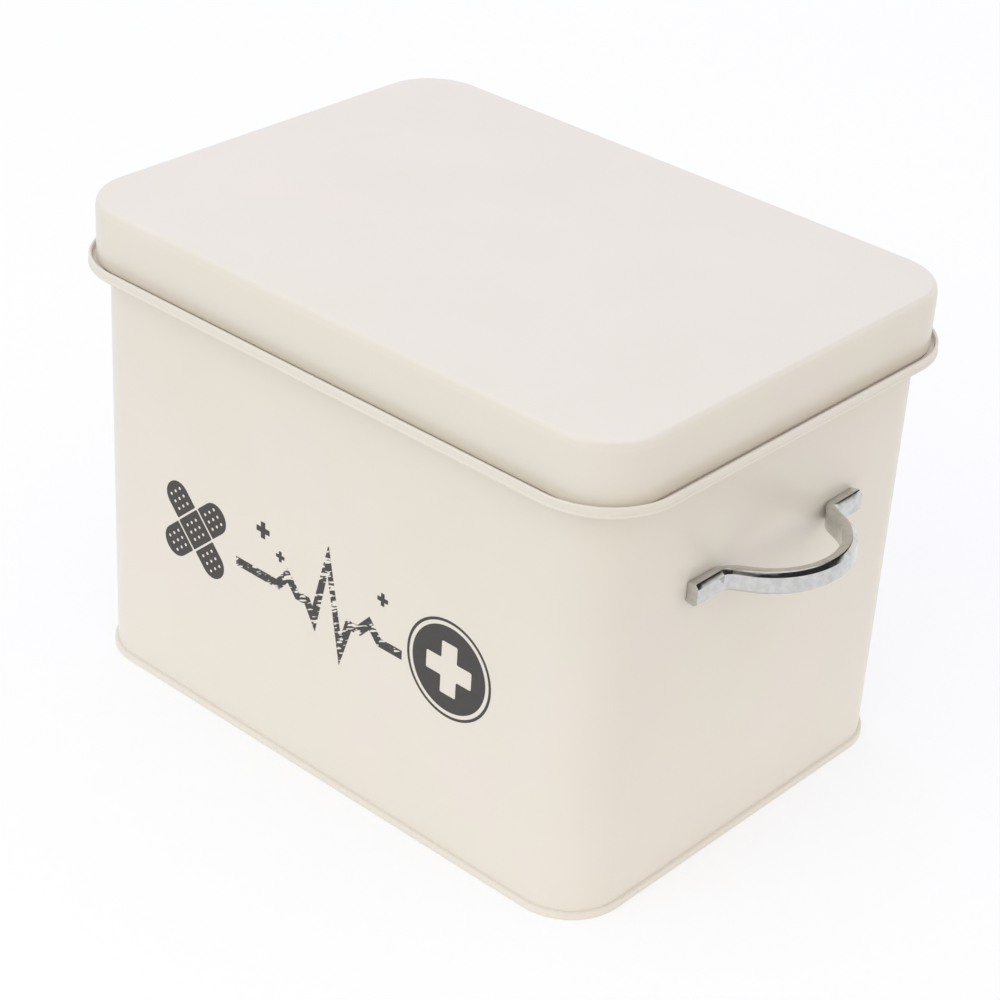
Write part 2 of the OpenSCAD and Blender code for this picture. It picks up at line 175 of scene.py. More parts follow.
def zinc_plate():
    """Bright zinc plate on rolled steel screws and washers: grey, slightly blue, with tumbled dullness."""
    patch_size, pit_depth = 1.6 * MM, 0.01 * MM
    material, tree, out = new_material("bright_zinc_plated_steel")
    place = add(tree, "ShaderNodeTexCoord", {}).outputs["Object"]
    patch = add(tree, "ShaderNodeTexNoise", {"Scale": 1 / patch_size, "Detail": 3.0}, [(place, "Vector")])
    tone = add(tree, "ShaderNodeMix", {"data_type": "RGBA", 6: linear("#B9BDC2"), 7: linear("#D3D5D6")},
               [(patch.outputs["Fac"], 0)])
    rough = add(tree, "ShaderNodeMapRange", {"To Min": 0.24, "To Max": 0.42},
                [(patch.outputs["Fac"], "Value")])
    bump = add(tree, "ShaderNodeBump", {"Strength": 1.0, "Distance": pit_depth},
               [(patch.outputs["Fac"], "Height")])
    plate = add(tree, "ShaderNodeBsdfPrincipled", {"Metallic": 1.0},
                [(tone.outputs[2], "Base Color"), (rough.outputs["Result"], "Roughness"),
                 (bump.outputs["Normal"], "Normal")])
    tree.links.new(plate.outputs[0], out.inputs["Surface"])
    return material


def screen_ink():
    """Charcoal enamel ink, pushed through a silk screen: an even, slightly warm near-black film. The
    screen's mesh is too fine to show, so the film's unevenness is drawn coarser."""
    film_size = 0.9 * MM
    material, tree, out = new_material("charcoal_screen_print_ink")
    place = add(tree, "ShaderNodeTexCoord", {}).outputs["Object"]
    film = add(tree, "ShaderNodeTexNoise", {"Scale": 1 / film_size, "Detail": 2.0}, [(place, "Vector")])
    tone = add(tree, "ShaderNodeMix", {"data_type": "RGBA", 6: linear("#3A3835"), 7: linear("#44413D")},
               [(film.outputs["Fac"], 0)])
    ink = add(tree, "ShaderNodeBsdfPrincipled", {"Roughness": 0.5, "IOR": 1.48},
              [(tone.outputs[2], "Base Color")])
    tree.links.new(ink.outputs[0], out.inputs["Surface"])
    return material


def sketched_ink(coat_hex):
    """The same ink, printed through a screen drawn like pencil shading: slanted strokes of bare coat
    show through it, as thin as 0.4 mm."""
    stroke_pitch, break_size, break_share = 0.85 * MM, 4 * MM, 0.35
    stroke_slant, stroke_stretch = math.radians(28), 0.2
    material, tree, out = new_material("charcoal_ink_with_pencil_strokes")
    place = add(tree, "ShaderNodeTexCoord", {}).outputs["Object"]
    turned = add(tree, "ShaderNodeMapping", {"Rotation": (0.0, stroke_slant, 0.0)}, [(place, "Vector")])
    long_way = add(tree, "ShaderNodeMapping", {"Scale": (stroke_stretch, 1.0, 1.0)},
                   [(turned.outputs["Vector"], "Vector")])
    strokes = add(tree, "ShaderNodeTexNoise", {"Scale": 1 / stroke_pitch, "Detail": 1.0},
                  [(long_way.outputs["Vector"], "Vector")])
    breaks = add(tree, "ShaderNodeTexNoise", {"Scale": 1 / break_size, "Detail": 1.0}, [(place, "Vector")])
    both = add(tree, "ShaderNodeMath", {"operation": "MULTIPLY_ADD", 1: break_share},
               [(breaks.outputs["Fac"], 0), (strokes.outputs["Fac"], 2)])
    bare = add(tree, "ShaderNodeMapRange", {"From Min": 0.74, "From Max": 0.78},
               [(both.outputs[0], "Value")])
    tone = add(tree, "ShaderNodeMix", {"data_type": "RGBA", 6: linear("#3E3B38"), 7: linear(coat_hex)},
               [(bare.outputs["Result"], 0)])
    ink = add(tree, "ShaderNodeBsdfPrincipled", {"Roughness": 0.48, "IOR": 1.48},
              [(tone.outputs[2], "Base Color")])
    tree.links.new(ink.outputs[0], out.inputs["Surface"])
    return material


CREAM_HEX = "#E9E3D6"
cream_coat = powder_coat("cream_powder_coat_on_tinplate", CREAM_HEX, "#E7DFD2", "#ECE2D9")
inner_coat = powder_coat("cream_powder_coat_inside", "#E6DFD2", "#E3DBCD", "#E6DED3")
chrome = bright_chrome()
zinc = zinc_plate()
ink = screen_ink()
pencil_ink = sketched_ink(CREAM_HEX)


# Sheet-metal shapes

def bent_line(corners, segments=6, closed=False):
    """Points of a line through (x, z, bend radius) corners, each corner rounded by its radius.
    Where the line becomes sheet, an outward bend is sharp or at least as wide as the sheet is thick."""
    points = []
    count = len(corners)
    for i, (x, z, radius) in enumerate(corners):
        here = Vector((x, z))
        if radius == 0 or (not closed and i in (0, count - 1)):
            points.append(here)
            continue
        back = (Vector(corners[i - 1][:2]) - here).normalized()
        ahead = (Vector(corners[(i + 1) % count][:2]) - here).normalized()
        half = back.angle(ahead) / 2
        start = here + back * (radius / math.tan(half))
        end = here + ahead * (radius / math.tan(half))
        centre = here + (back + ahead).normalized() * (radius / math.sin(half))
        a, b = start - centre, end - centre
        turn = a.angle(b)
        for k in range(segments + 1):
            t = k / segments
            points.append(centre + (a * math.sin((1 - t) * turn) + b * math.sin(t * turn)) / math.sin(turn))
    return points


def add_piece(bm, name, material):
    """Turns a bmesh into an object with one material."""
    mesh = bpy.data.meshes.new(name)
    bm.to_mesh(mesh)
    bm.free()
    mesh.materials.append(material)
    piece = bpy.data.objects.new(name, mesh)
    bpy.context.scene.collection.objects.link(piece)
    return piece


def finish_mesh(bm, name, material, smooth_angle=35):
    """Turns a bmesh into a smooth-shaded object with sharp edges kept."""
    bmesh.ops.remove_doubles(bm, verts=bm.verts, dist=MERGE)
    bmesh.ops.recalc_face_normals(bm, faces=bm.faces)
    piece = add_piece(bm, name, material)
    piece.data.shade_smooth()
    piece.data.set_sharp_from_angle(angle=math.radians(smooth_angle))
    return piece


def sweep_round(line, half_x, half_y, radius, corner_steps=16):
    """Sweeps a line of (outward offset, height) points round a rectangle with round corners."""
    bm = bmesh.new()
    verts = [bm.verts.new((half_x + p.x, 0, p.y)) for p in line]
    edges = [bm.edges.new(pair) for pair in zip(verts, verts[1:])]

    def run(edges, step):
        made = bmesh.ops.extrude_edge_only(bm, edges=edges)["geom"]
        bmesh.ops.translate(bm, verts=[g for g in made if isinstance(g, bmesh.types.BMVert)], vec=step)
        return [g for g in made if isinstance(g, bmesh.types.BMEdge)
                and all(v in made for v in g.verts)]

    edges = run(edges, (0, half_y - radius, 0))
    turned = bmesh.ops.spin(bm, geom=edges, cent=(half_x - radius, half_y - radius, 0), axis=(0, 0, 1),
                            angle=math.pi / 2, steps=corner_steps, use_duplicate=False)
    edges = [g for g in turned["geom_last"] if isinstance(g, bmesh.types.BMEdge)]
    run(edges, (radius - half_x, 0, 0))
    for axis in ("X", "Y"):
        bmesh.ops.mirror(bm, geom=bm.verts[:] + bm.edges[:] + bm.faces[:], matrix=Matrix.Identity(4),
                         merge_dist=MERGE, axis=axis)
    bmesh.ops.remove_doubles(bm, verts=bm.verts, dist=MERGE)
    bmesh.ops.recalc_face_normals(bm, faces=bm.faces)
    return bm


def close_flat(bm, height, upwards):
    """Closes the flat ring of edges at a height with one face."""
    rim = [e for e in bm.edges if e.is_boundary and all(abs(v.co.z - height) < ON_PLANE for v in e.verts)]
    for face in bmesh.ops.edgeloop_fill(bm, edges=rim)["faces"]:
        face.normal_update()
        if (face.normal.z > 0) != upwards:
            face.normal_flip()


def press_groove(bm, x0, x1, z0, z1, depth, side):
    """Presses a fine upright groove into the back wall, with sides that slope over a short way."""
    for place, axis in ((Vector((x0, 0, 0)), (1, 0, 0)), (Vector((x1, 0, 0)), (1, 0, 0)),
                        (Vector((0, 0, z0)), (0, 0, 1)), (Vector((0, 0, z1)), (0, 0, 1))):
        back = [f for f in bm.faces
                if f.normal.y > 0.99 and abs(f.calc_center_median().y - WALL_Y) < ON_PLANE]
        parts = back + list(dict.fromkeys(part for f in back for part in f.edges[:] + f.verts[:]))
        bmesh.ops.bisect_plane(bm, geom=parts, plane_co=place, plane_no=axis, dist=MERGE / 2)
    groove = []
    for face in bm.faces:
        centre = face.calc_center_median()
        if x0 < centre.x < x1 and z0 < centre.z < z1 and abs(centre.y - WALL_Y) < ON_PLANE:
            groove.append(face)
    bmesh.ops.inset_region(bm, faces=groove, thickness=side, depth=-depth, use_even_offset=True)


def soften_edges(bm, edges, width):
    """Rounds edges over a width."""
    bmesh.ops.bevel(bm, geom=edges, offset=width, offset_type="OFFSET", segments=4, profile=0.5,
                    affect="EDGES", material=-1, clamp_overlap=True)


# The lid's outline and the seat that it stands on
LID_REACH = 4.0 * MM
LID_R = 23.7 * MM
LID_FOLD = 1.2 * MM
SEAT_GAP = 0.1 * MM
SEAT_EDGE = LID_REACH - LID_FOLD
seat = lid_low.z - SEAT_GAP

# The body: wall, ledge with its lip, folded rim, and the seat with a fine gutter round the lid
WALL_FOOT = 0.6 * MM
WALL_BEND, LEDGE_BEND, RIM_BEND, SEAT_BEND = 0.8 * MM, 0.5 * MM, 0.55 * MM, 0.4 * MM
RIM_H, RIM_FOLD, RIM_LEAN = 4.0 * MM, 1.4 * MM, 0.15 * MM
LIP_H, LIP_W, LIP_SLOPE, LIP_BEND, LIP_CREASE = 0.9 * MM, 0.4 * MM, 0.25 * MM, 0.45 * MM, 0.25 * MM
GUTTER_W, GUTTER_D, GUTTER_TUCK = 0.4 * MM, 0.9 * MM, 0.15 * MM
ledge_under = rim_high.z - RIM_H
lip_top = ledge_under + LIP_H
rim_line = bent_line([
    (0, seam_low.z + WALL_FOOT, 0),
    (0, ledge_under, WALL_BEND),
    (RIM_REACH, ledge_under, LEDGE_BEND),
    (RIM_REACH, lip_top, LIP_BEND),
    (RIM_REACH - LIP_W, lip_top + LIP_SLOPE, LIP_CREASE),
    (RIM_REACH - RIM_LEAN, rim_high.z, RIM_BEND),
    (RIM_REACH - RIM_FOLD, rim_high.z, RIM_BEND),
    (RIM_REACH - RIM_FOLD, seat, SEAT_BEND),
    (LID_REACH + GUTTER_W, seat, 0),
    (LID_REACH + GUTTER_W, seat - GUTTER_D, 0),
    (LID_REACH - GUTTER_TUCK, seat - GUTTER_D, 0),
    (LID_REACH - GUTTER_TUCK, seat, 0),
    (SEAT_EDGE, seat, 0),
])

# The lock seam up the back wall: a groove outside and a fold inside
LOCK_HALF, LOCK_T, LOCK_ROUND = 4.0 * MM, 0.8 * MM, 0.35 * MM
GROOVE_W, GROOVE_D, GROOVE_SIDE = 0.5 * MM, 0.2 * MM, 0.08 * MM
lock_foot = seam_high.z + 1.0 * MM
lock_top = ledge_under - 1.8 * MM

bm = sweep_round(rim_line, WALL_X, WALL_Y, WALL_R)
press_groove(bm, LOCK_HALF, LOCK_HALF + GROOVE_W, lock_foot, lock_top, GROOVE_D, GROOVE_SIDE)
bmesh.ops.solidify(bm, geom=bm.faces[:], thickness=SHEET)
case_wall = finish_mesh(bm, "case_wall", cream_coat)
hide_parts("body")
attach(case_wall, "case")

bm = bmesh.new()
bmesh.ops.create_cube(bm, size=1)
bmesh.ops.scale(bm, verts=bm.verts, vec=(2 * LOCK_HALF, LOCK_T, lock_top - lock_foot))
bmesh.ops.translate(bm, verts=bm.verts, vec=(0, WALL_Y - SHEET - LOCK_T / 2, (lock_top + lock_foot) / 2))
soften_edges(bm, bm.edges[:], LOCK_ROUND)
lock_fold = finish_mesh(bm, "lock_seam_fold", cream_coat)
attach(lock_fold, "case")

# The lid: skirt, round top edge and flat top
FLAT_INSET = 12 * MM
SHOULDER_W, SHOULDER_H, SHOULDER_BEND, SKIRT_BEND = 0.7 * MM, 3.4 * MM, 2.0 * MM, 6.0 * MM
LID_HEM, LID_HEM_BEND = 3.8 * MM, 0.6 * MM
lid_line = bent_line([
    (-FLAT_INSET, lid_high.z, 0),
    (LID_REACH - SHOULDER_W, lid_high.z, SHOULDER_BEND),
    (LID_REACH, lid_high.z - SHOULDER_H, SKIRT_BEND),
    (LID_REACH, lid_low.z, LID_HEM_BEND),
    (LID_REACH - LID_FOLD, lid_low.z, LID_HEM_BEND),
    (LID_REACH - LID_FOLD, lid_low.z + LID_HEM, 0),
], segments=8)
bm = sweep_round([p - Vector((LID_REACH, 0)) for p in lid_line], lid_high.x, lid_high.y, LID_R)
close_flat(bm, lid_high.z, upwards=True)
bmesh.ops.solidify(bm, geom=bm.faces[:], thickness=SHEET)
lid_shell = finish_mesh(bm, "lid_shell", cream_coat)
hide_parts("lid")
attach(lid_shell, "lid")

# The base: recessed floor and double seam
SEAM_H, SEAM_IN = 2.7 * MM, 0.85 * MM
SEAM_CLEAR, SEAM_RISE = 0.02 * MM, 0.15 * MM
FLOOR_BEND, SEAM_BEND, SEAM_TOP_BEND = 0.4 * MM, 0.45 * MM, 0.62 * MM
seam_reach = seam_high.x - WALL_X
floor_under = seam_high.z - SHEET
seam_line = bent_line([
    (-FLAT_INSET, floor_under, 0),
    (-SEAM_IN, floor_under, FLOOR_BEND),
    (-SEAM_IN, seam_low.z, SEAM_BEND),
    (seam_reach, seam_low.z, SEAM_BEND),
    (seam_reach, SEAM_H, SEAM_TOP_BEND),
    (SEAM_CLEAR, SEAM_H + SEAM_RISE, 0),
])
bm = sweep_round([p - Vector((seam_reach, 0)) for p in seam_line],
                 seam_high.x, seam_high.y, WALL_R + seam_reach)
close_flat(bm, floor_under, upwards=False)
bmesh.ops.solidify(bm, geom=bm.faces[:], thickness=SHEET)
base_with_seam = finish_mesh(bm, "base_with_seam", cream_coat)
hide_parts("base_panel")
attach(base_with_seam, "case")

# The bow handles: section of the bar, bow, heels with their hollow crease, and the slight tilt of the bow
BAR_T = 5.2 * MM
BAR_HALF = 4.5 * MM
BACK_HALF = 3.7 * MM
BAR_BEVEL = 1.7 * MM
BACK_ROUND, SHOULDER_ROUND, FRONT_ROUND = 0.5 * MM, 1.2 * MM, 0.45 * MM
FOOT_ROUND = 0.9 * MM
BOW_R = 30.6 * MM
BOW_REACH = 29.0 * MM
BOW_C = BOW_REACH - BOW_R
BOW_TURN = math.radians(63)
HEEL_R = 12 * MM
HEEL_FRONT = HEEL_R - BAR_T
CREASE_R = 3 * MM
TILT = math.radians(4.5)
TILT_START, TILT_END = 34 * MM, 26 * MM
HANDLE_HALF = handle_high.y
HANDLE_Z = handle_low.z + BAR_HALF


def heel_front(a):
    """Distance from the heel's centre to the bar's front at an angle: two flats and a hollow between."""
    half_turn = BOW_TURN / 2
    hollow_centre = (HEEL_FRONT - CREASE_R) / math.cos(half_turn)
    hollow_half = half_turn - math.atan(math.tan(half_turn) * (1 - CREASE_R / HEEL_FRONT))
    off = abs(a - half_turn)
    if off < hollow_half:
        half_chord = math.sqrt(CREASE_R ** 2 - (hollow_centre * math.sin(off)) ** 2)
        return hollow_centre * math.cos(off) + half_chord
    return HEEL_FRONT / math.cos(min(a, BOW_TURN - a))


def handle_stations():
    """(outer point, inner point) pairs in plan, from the middle of the bow to the end of a foot.
    A point is (distance from the wall, distance along it)."""
    pairs = []
    arc_steps, leg_steps, heel_steps, foot_steps = 24, 4, 26, 4
    centre = Vector((BOW_C, 0))
    for k in range(arc_steps + 1):
        a = BOW_TURN * k / arc_steps
        out = Vector((math.cos(a), math.sin(a)))
        pairs.append((centre + out * BOW_R, centre + out * (BOW_R - BAR_T)))
    leg_out, leg_in = pairs[-1]
    along = Vector((-math.sin(BOW_TURN), math.cos(BOW_TURN)))
    corner_in = leg_in + along * (-leg_in.x / along.x)
    heel_start = corner_in - along * (HEEL_R * math.tan(BOW_TURN / 2))
    length = (heel_start - leg_in).length
    for k in range(1, leg_steps + 1):
        step = along * (length * k / leg_steps)
        pairs.append((leg_out + step, leg_in + step))
    heel = Vector((HEEL_R, corner_in.y + HEEL_R * math.tan(BOW_TURN / 2)))
    for k in range(1, heel_steps + 1):
        a = BOW_TURN * k / heel_steps
        lean = BOW_TURN - a
        ray = Vector((-math.cos(lean), -math.sin(lean)))
        pairs.append((heel + ray * heel_front(a), heel + ray * HEEL_R))
    foot_out, foot_in = pairs[-1]
    for k in range(1, foot_steps + 1):
        step = Vector((0, (HANDLE_HALF - foot_in.y) * k / foot_steps))
        pairs.append((foot_out + step, foot_in + step))
    return pairs


def bar_section(thickness):
    """The bar's six-sided section with its corners rounded: (distance from the back, height) points."""
    shoulder = thickness - BAR_BEVEL
    front_half = BAR_HALF - BAR_BEVEL
    return bent_line([
        (0, -BACK_HALF, BACK_ROUND),
        (shoulder, -BAR_HALF, SHOULDER_ROUND),
        (thickness, -front_half, FRONT_ROUND),
        (thickness, front_half, FRONT_ROUND),
        (shoulder, BAR_HALF, SHOULDER_ROUND),
        (0, BACK_HALF, BACK_ROUND),
    ], segments=4, closed=True)


def bar_ring(outer, inner):
    """The section's points at one station, tilted more and more from the foot to the bow."""
    share = min(1.0, max(0.0, (TILT_START - inner.y) / (TILT_START - TILT_END)))
    tilt = TILT * share * share * (3 - 2 * share)
    across = outer - inner
    ring = []
    for p in bar_section(across.length):
        flat = inner + across.normalized() * p.x
        out, up = flat.x - BAR_T / 2, p.y
        turned = (BAR_T / 2 + out * math.cos(tilt) - up * math.sin(tilt),
                  out * math.sin(tilt) + up * math.cos(tilt))
        ring.append(Vector((WALL_X + turned[0], flat.y, HANDLE_Z + turned[1])))
    return ring


def carry_ring(bm, last, ring):
    """Extrudes the ring of vertices that a bar ends with to the next ring of points."""
    end = set(last)
    loop = [e for e in bm.edges if e.verts[0] in end and e.verts[1] in end]
    made = bmesh.ops.extrude_edge_only(bm, edges=loop)["geom"]
    partner = {}
    for v in [g for g in made if isinstance(g, bmesh.types.BMVert)]:
        for e in v.link_edges:
            if e.other_vert(v) in end:
                partner[e.other_vert(v)] = v
    new = [partner[v] for v in last]
    for v, co in zip(new, ring):
        v.co = co
    return new


def bow_handle(name, node, side):
    """One handle: the section carried along half the bow and mirrored."""
    bm = bmesh.new()
    rings = [bar_ring(outer, inner) for outer, inner in reversed(handle_stations())]
    last = [bm.verts.new(co) for co in rings[0]]
    end_face = bm.faces.new(last)
    for ring in rings[1:]:
        last = carry_ring(bm, last, ring)
    soften_edges(bm, end_face.edges[:], FOOT_ROUND)
    bmesh.ops.mirror(bm, geom=bm.verts[:] + bm.edges[:] + bm.faces[:], matrix=Matrix.Identity(4),
                     merge_dist=MERGE, axis="Y")
    if side < 0:
        bmesh.ops.scale(bm, verts=bm.verts, vec=(-1, 1, 1))
    piece = finish_mesh(bm, name, chrome, smooth_angle=40)
    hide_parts(node)
    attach(piece, "case")


bow_handle("right_bow_handle", "right_handle", 1)
bow_handle("left_bow_handle", "left_handle", -1)

# CAD pieces that keep their shape
for node_name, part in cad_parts.items():
    if part.hide_render:
        continue
    part.data.materials.clear()
    part.data.materials.append(zinc if "screw" in node_name or "washer" in node_name else inner_coat)

# The print on the front, in millimetres from the middle of the front at the table's height
INK_FILM = 0.03 * MM
FRONT_Y = -WALL_Y - INK_FILM


def flat_print(name, outlines, material):
    """A thin film of ink on the front wall, inside closed outlines of (x, z) points."""
    bm = bmesh.new()
    for outline in outlines:
        verts = [bm.verts.new((p[0] * MM, FRONT_Y, p[1] * MM)) for p in outline]
        for i, v in enumerate(verts):
            bm.edges.new((verts[i - 1], v))
    bmesh.ops.triangle_fill(bm, use_beauty=True, use_dissolve=False, edges=bm.edges[:])
    bmesh.ops.recalc_face_normals(bm, faces=bm.faces)
    for face in bm.faces:
        if face.normal.y > 0:
            face.normal_flip()
    piece = add_piece(bm, name, material)
    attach(piece, "case")


def round_outline(x, z, radius, count=64):
    """A circle of (x, z) points."""
    return [(x + radius * math.cos(2 * math.pi * k / count), z + radius * math.sin(2 * math.pi * k / count))
            for k in range(count)]


def turned_outline(points, x, z, degrees):
    """Points turned about zero and moved to (x, z)."""
    c, s = math.cos(math.radians(degrees)), math.sin(math.radians(degrees))
    return [(x + p[0] * c - p[1] * s, z + p[0] * s + p[1] * c) for p in points]


def cross_outline(x, z, arm, half_width, corner):
    """An upright cross with softened corners, centred on (x, z)."""
    quarter = [(arm, -half_width), (arm, half_width), (half_width, half_width)]
    corners = []
    for turn in range(4):
        c, s = round(math.cos(turn * math.pi / 2)), round(math.sin(turn * math.pi / 2))
        corners += [(px * c - py * s, px * s + py * c, corner) for px, py in quarter]
    return [(x + p[0], z + p[1]) for p in bent_line(corners, segments=3, closed=True)]


def box_outline(x0, z0, x1, z1, r0, r1):
    """A rectangle whose left corners have radius r0 and whose right corners have radius r1."""
    return bent_line([(x0, z0, r0), (x1, z0, r1), (x1, z1, r1), (x0, z1, r0)], closed=True)


def stroke_outline(points, width):
    """The outline of a line of even width through points, with mitred corners."""
    sharpest = 0.3
    sides = ([], [])
    for i, p in enumerate(points):
        p = Vector(p)
        ahead = Vector(points[min(i + 1, len(points) - 1)]) - p
        back = p - Vector(points[max(i - 1, 0)])
        ahead = ahead.normalized() if ahead.length else back.normalized()
        back = back.normalized() if back.length else ahead
        mid = (ahead + back).normalized()
        normal = Vector((-mid.y, mid.x))
        reach = width / 2 / max(sharpest, normal.dot(Vector((-ahead.y, ahead.x))))
        sides[0].append(p + normal * reach)
        sides[1].append(p - normal * reach)
    return sides[0] + sides[1][::-1]


# A cross in a roundel with a ring round it
ROUNDEL_X, ROUNDEL_Z, ROUNDEL_R = 62.0, 78.0, 17.0
RING_IN, RING_OUT = 1.5, 2.6
CROSS_ARM, CROSS_HALF, CROSS_ROUND = 10.5, 3.6, 0.6
flat_print("print_roundel", [
    round_outline(ROUNDEL_X, ROUNDEL_Z, ROUNDEL_R),
    cross_outline(ROUNDEL_X, ROUNDEL_Z, CROSS_ARM, CROSS_HALF, CROSS_ROUND),
], ink)
flat_print("print_roundel_ring", [
    round_outline(ROUNDEL_X, ROUNDEL_Z, ROUNDEL_R + RING_OUT),
    round_outline(ROUNDEL_X, ROUNDEL_Z, ROUNDEL_R + RING_IN),
], ink)

# A pulse line
TRACE = [(-44, 73), (-22, 73), (-17, 79), (-12, 73), (-7, 73), (-3.5, 67), (3, 95), (10, 60), (14, 73),
         (19, 73), (24, 78.5), (29, 73), (40, 73)]
TRACE_W = 3.8
flat_print("print_pulse_trace", [stroke_outline(TRACE, TRACE_W)], pencil_ink)

# Two crossed plasters with rows of air holes
PLASTER_X, PLASTER_Z, PLASTER_TURN = -66.0, 76.0, 42
PLASTER_HALF_L, PLASTER_HALF_W = 20.0, 6.2
PAD_HALF, PAD_GAP, PAD_ROUND, END_TRIM = 6.4, 0.8, 0.5, 0.3
HOLE_R, HOLE_PITCH, HOLE_POINTS = 0.6, 3.0, 16
HOLES_FROM_PAD, HOLES_FROM_END = 1.2, 2.4


def plaster_holes(x0, x1):
    """Air holes in rows between two places along a plaster."""
    count = int((x1 - x0) / HOLE_PITCH + 0.5)
    return [round_outline(x0 + (i + 0.5) * (x1 - x0) / count, row * HOLE_PITCH, HOLE_R, HOLE_POINTS)
            for i in range(count) for row in (-1, 0, 1)]


def plaster_strip(turn, under):
    """One plaster as outlines: two ends, and the pad if it lies on top."""
    start = PAD_GAP + (PLASTER_HALF_W if under else PAD_HALF)
    shapes = [box_outline(start, -PLASTER_HALF_W, PLASTER_HALF_L, PLASTER_HALF_W,
                          PAD_ROUND, PLASTER_HALF_W - END_TRIM)]
    shapes.append([(-p[0], -p[1]) for p in shapes[0]])
    holes = plaster_holes(start + HOLES_FROM_PAD, PLASTER_HALF_L - HOLES_FROM_END)
    holes += [[(-p[0], p[1]) for p in hole] for hole in holes]
    if not under:
        shapes.append(box_outline(-PAD_HALF, -PLASTER_HALF_W, PAD_HALF, PLASTER_HALF_W,
                                  PAD_ROUND, PAD_ROUND))
        rows = (-HOLE_PITCH, 0, HOLE_PITCH)
        holes += [round_outline(x, z, HOLE_R, HOLE_POINTS) for x in rows for z in rows]
    return [turned_outline(s, PLASTER_X, PLASTER_Z, turn) for s in shapes + holes]


flat_print("print_plaster_over", plaster_strip(PLASTER_TURN, under=False), ink)
flat_print("print_plaster_under", plaster_strip(PLASTER_TURN - 90, under=True), ink)

# Small crosses beside the pulse line, as (x, z, arm)
SMALL_CROSSES = ((-30, 92, 3.4), (-21, 85, 2.2), (30, 91, 2.6))
SMALL_ROUND = 0.2
flat_print("print_small_crosses", [
    cross_outline(x, z, arm, arm / 3, SMALL_ROUND) for x, z, arm in SMALL_CROSSES], ink)


# Floor, light and camera

def studio_floor_paint():
    """Matt white paint. Its colour darkens further out, a painted shade that stands in for the paper past
    the lamps being less lit, and only light bounced off it sees this. Seen straight or mirrored it is
    white, partly lit from within, so that the shadow on it stays pale."""
    fade_start, fade_end, lit_share = 0.2, 0.7, 0.6
    seen_white = linear("#FFFFFE")
    material, tree, out = new_material("matt_white_studio_floor")
    ray = add(tree, "ShaderNodeLightPath", {})
    seen_or_mirrored = add(tree, "ShaderNodeMath", {"operation": "MAXIMUM"},
                           [(ray.outputs["Is Camera Ray"], 0), (ray.outputs["Is Glossy Ray"], 1)])
    seen = add(tree, "ShaderNodeMath", {"operation": "MAXIMUM"},
               [(seen_or_mirrored.outputs[0], 0), (ray.outputs["Is Transmission Ray"], 1)])
    place = add(tree, "ShaderNodeTexCoord", {}).outputs["Object"]
    reach = add(tree, "ShaderNodeVectorMath", {"operation": "LENGTH"}, [(place, 0)])
    outward = add(tree, "ShaderNodeMapRange",
                  {"interpolation_type": "SMOOTHSTEP", "From Min": fade_start, "From Max": fade_end},
                  [(reach.outputs["Value"], "Value")])
    # Painted shade: the floor's colour darkens outward in place of the lamps' light falling off on the
    # paper
    painted_falloff_tone = add(tree, "ShaderNodeMix", {"data_type": "RGBA", 6: linear("#FDFBF8"), 7: linear("#C2BEB7")},
                [(outward.outputs["Result"], 0)])
    tone = add(tree, "ShaderNodeMix", {"data_type": "RGBA", 7: seen_white},
               [(seen.outputs[0], 0), (painted_falloff_tone.outputs[2], 6)])
    matt = add(tree, "ShaderNodeBsdfDiffuse", {}, [(tone.outputs[2], "Color")])
    white = add(tree, "ShaderNodeEmission", {"Strength": 1.0})
    white_share = add(tree, "ShaderNodeMath", {"operation": "MULTIPLY", 1: lit_share},
                      [(seen.outputs[0], 0)])
    pale_shadow = add(tree, "ShaderNodeMixShader", {},
                      [(white_share.outputs[0], 0), (matt.outputs[0], 1), (white.outputs[0], 2)])
    tree.links.new(pale_shadow.outputs[0], out.inputs["Surface"])
    return material


def facing(tree, way, direction, start, end):
    """Share of a direction, from nothing at one cosine to all at another."""
    cosine = add(tree, "ShaderNodeVectorMath", {"operation": "DOT_PRODUCT", 1: direction}, [(way, 0)])
    return add(tree, "ShaderNodeMapRange",
               {"interpolation_type": "SMOOTHSTEP", "From Min": start, "From Max": end},
               [(cosine.outputs["Value"], "Value")]).outputs["Result"]


def tent_cloth(tree, way):
    """What lights the case: walls that turn from cool at the left to warm at the right, and a dimmer
    roof."""
    cool_wall, warm_wall = (0.86, 0.94, 1.03, 1.0), (1.06, 1.045, 0.87, 1.0)
    roof = (0.9, 0.885, 1.07, 1.0)
    height = add(tree, "ShaderNodeSeparateXYZ", {}, [(way, 0)]).outputs["Z"]
    walls = add(tree, "ShaderNodeMix", {"data_type": "RGBA", 6: cool_wall, 7: warm_wall},
                [(facing(tree, way, (1.0, 0.0, 0.0), -1.0, 1.0), 0)])
    cloth = add(tree, "ShaderNodeMix", {"data_type": "RGBA", 7: roof}, [(height, 0), (walls.outputs[2], 6)])
    return add(tree, "ShaderNodeBackground", {"Strength": 1.0}, [(cloth.outputs[2], "Color")])


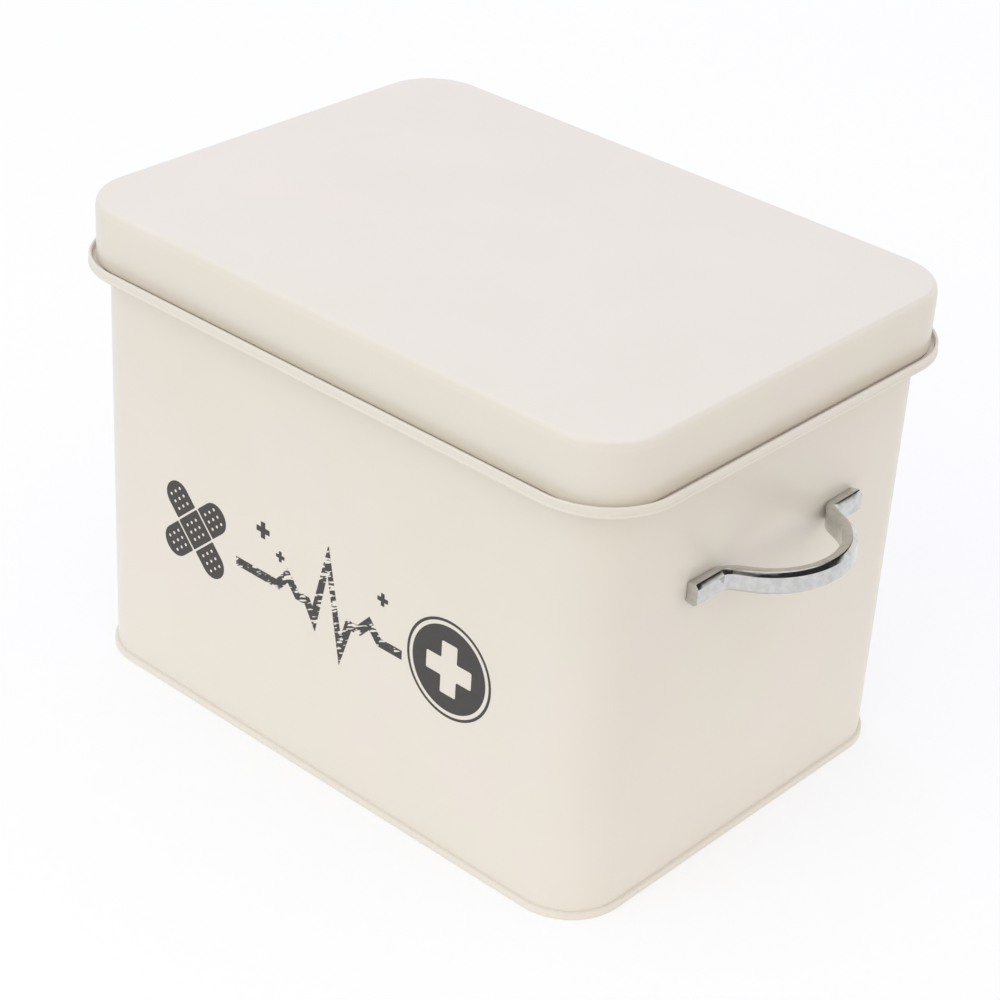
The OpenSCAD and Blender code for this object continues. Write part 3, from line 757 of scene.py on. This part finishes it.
def mirrored_room(tree, way, straight):
    """What the chrome mirrors: a white room with an unlit stretch of wall, between the table and the
    roof lamp at the right. Seen straight it is plain white."""
    white, dark = (1.0, 1.0, 1.0, 1.0), (0.03, 0.03, 0.03, 1.0)
    table_up, away_from_front, rightward = (-0.255, -0.413, 0.874), (0.8, 0.6, 0.0), (1.0, 0.0, 0.0)
    lamp_way = (-0.2, 0.1, 0.975)
    table_edge, table_end, wall_edge, wall_end = -0.07, 0.08, -0.42, -0.24
    lamp_edge, lamp_end = math.cos(math.radians(31)), math.cos(math.radians(36))
    above_table = facing(tree, way, table_up, table_edge, table_end)
    off_the_front = facing(tree, way, away_from_front, wall_edge, wall_end)
    off_the_left = facing(tree, way, rightward, wall_edge, wall_end)
    off_the_roof = facing(tree, way, lamp_way, lamp_edge, lamp_end)
    unlit = above_table
    for share in (off_the_front, off_the_left, off_the_roof):
        unlit = add(tree, "ShaderNodeMath", {"operation": "MULTIPLY"}, [(unlit, 0), (share, 1)]).outputs[0]
    room = add(tree, "ShaderNodeMix", {"data_type": "RGBA", 6: white, 7: dark}, [(unlit, 0)])
    seen_room = add(tree, "ShaderNodeMix", {"data_type": "RGBA", 7: white},
                    [(straight, 0), (room.outputs[2], 6)])
    return add(tree, "ShaderNodeBackground", {"Strength": 1.0}, [(seen_room.outputs[2], "Color")])


def light_tent():
    """The world: the cloth lights matt surfaces, chrome mirrors the room, and seen straight it is white."""
    world = bpy.data.worlds.new("light_tent")
    bpy.context.scene.world = world
    world.use_nodes = True
    tree = world.node_tree
    tree.nodes.clear()
    out = tree.nodes.new("ShaderNodeOutputWorld")
    way = add(tree, "ShaderNodeTexCoord", {}).outputs["Generated"]
    ray = add(tree, "ShaderNodeLightPath", {})
    straight = add(tree, "ShaderNodeMath", {"operation": "MAXIMUM"},
                   [(ray.outputs["Is Camera Ray"], 0), (ray.outputs["Is Transmission Ray"], 1)]).outputs[0]
    seen = add(tree, "ShaderNodeMath", {"operation": "MAXIMUM"},
               [(straight, 0), (ray.outputs["Is Glossy Ray"], 1)])
    both = add(tree, "ShaderNodeMixShader", {},
               [(seen.outputs[0], 0), (tent_cloth(tree, way).outputs[0], 1),
                (mirrored_room(tree, way, straight).outputs[0], 2)])
    tree.links.new(both.outputs[0], out.inputs["Surface"])


def soft_box(name, place, aim, width, power, colour):
    """A square lamp with a diffuser, aimed at a point."""
    data = bpy.data.lights.new(name, "AREA")
    data.size = width
    data.energy = power
    data.color = colour
    lamp = bpy.data.objects.new(name, data)
    lamp.location = place
    lamp.rotation_euler = (Vector(aim) - Vector(place)).to_track_quat("-Z", "Y").to_euler()
    lamp.visible_camera = False
    lamp.visible_glossy = False
    bpy.context.scene.collection.objects.link(lamp)


FLOOR_HALF = 4.0
bm = bmesh.new()
bmesh.ops.create_grid(bm, x_segments=1, y_segments=1, size=FLOOR_HALF)
floor = finish_mesh(bm, "studio_floor", studio_floor_paint())

light_tent()
soft_box("key_soft_box", place=(0.05, -1.25, 1.25), aim=(0, 0, 0.1), width=1.2, power=4.8,
         colour=(0.96, 1.0, 0.79))

view = bpy.data.cameras.new("catalogue_camera")
view.sensor_width = CAMERA_SENSOR
view.lens = CAMERA_LENS
view.clip_start, view.clip_end = CAMERA_RANGE
camera = bpy.data.objects.new("catalogue_camera", view)
camera.location = CAMERA_PLACE
camera.rotation_euler = [math.radians(a) for a in CAMERA_TURN]
bpy.context.scene.collection.objects.link(camera)
bpy.context.scene.camera = camera
bpy.context.scene.view_settings.view_transform = "Standard"
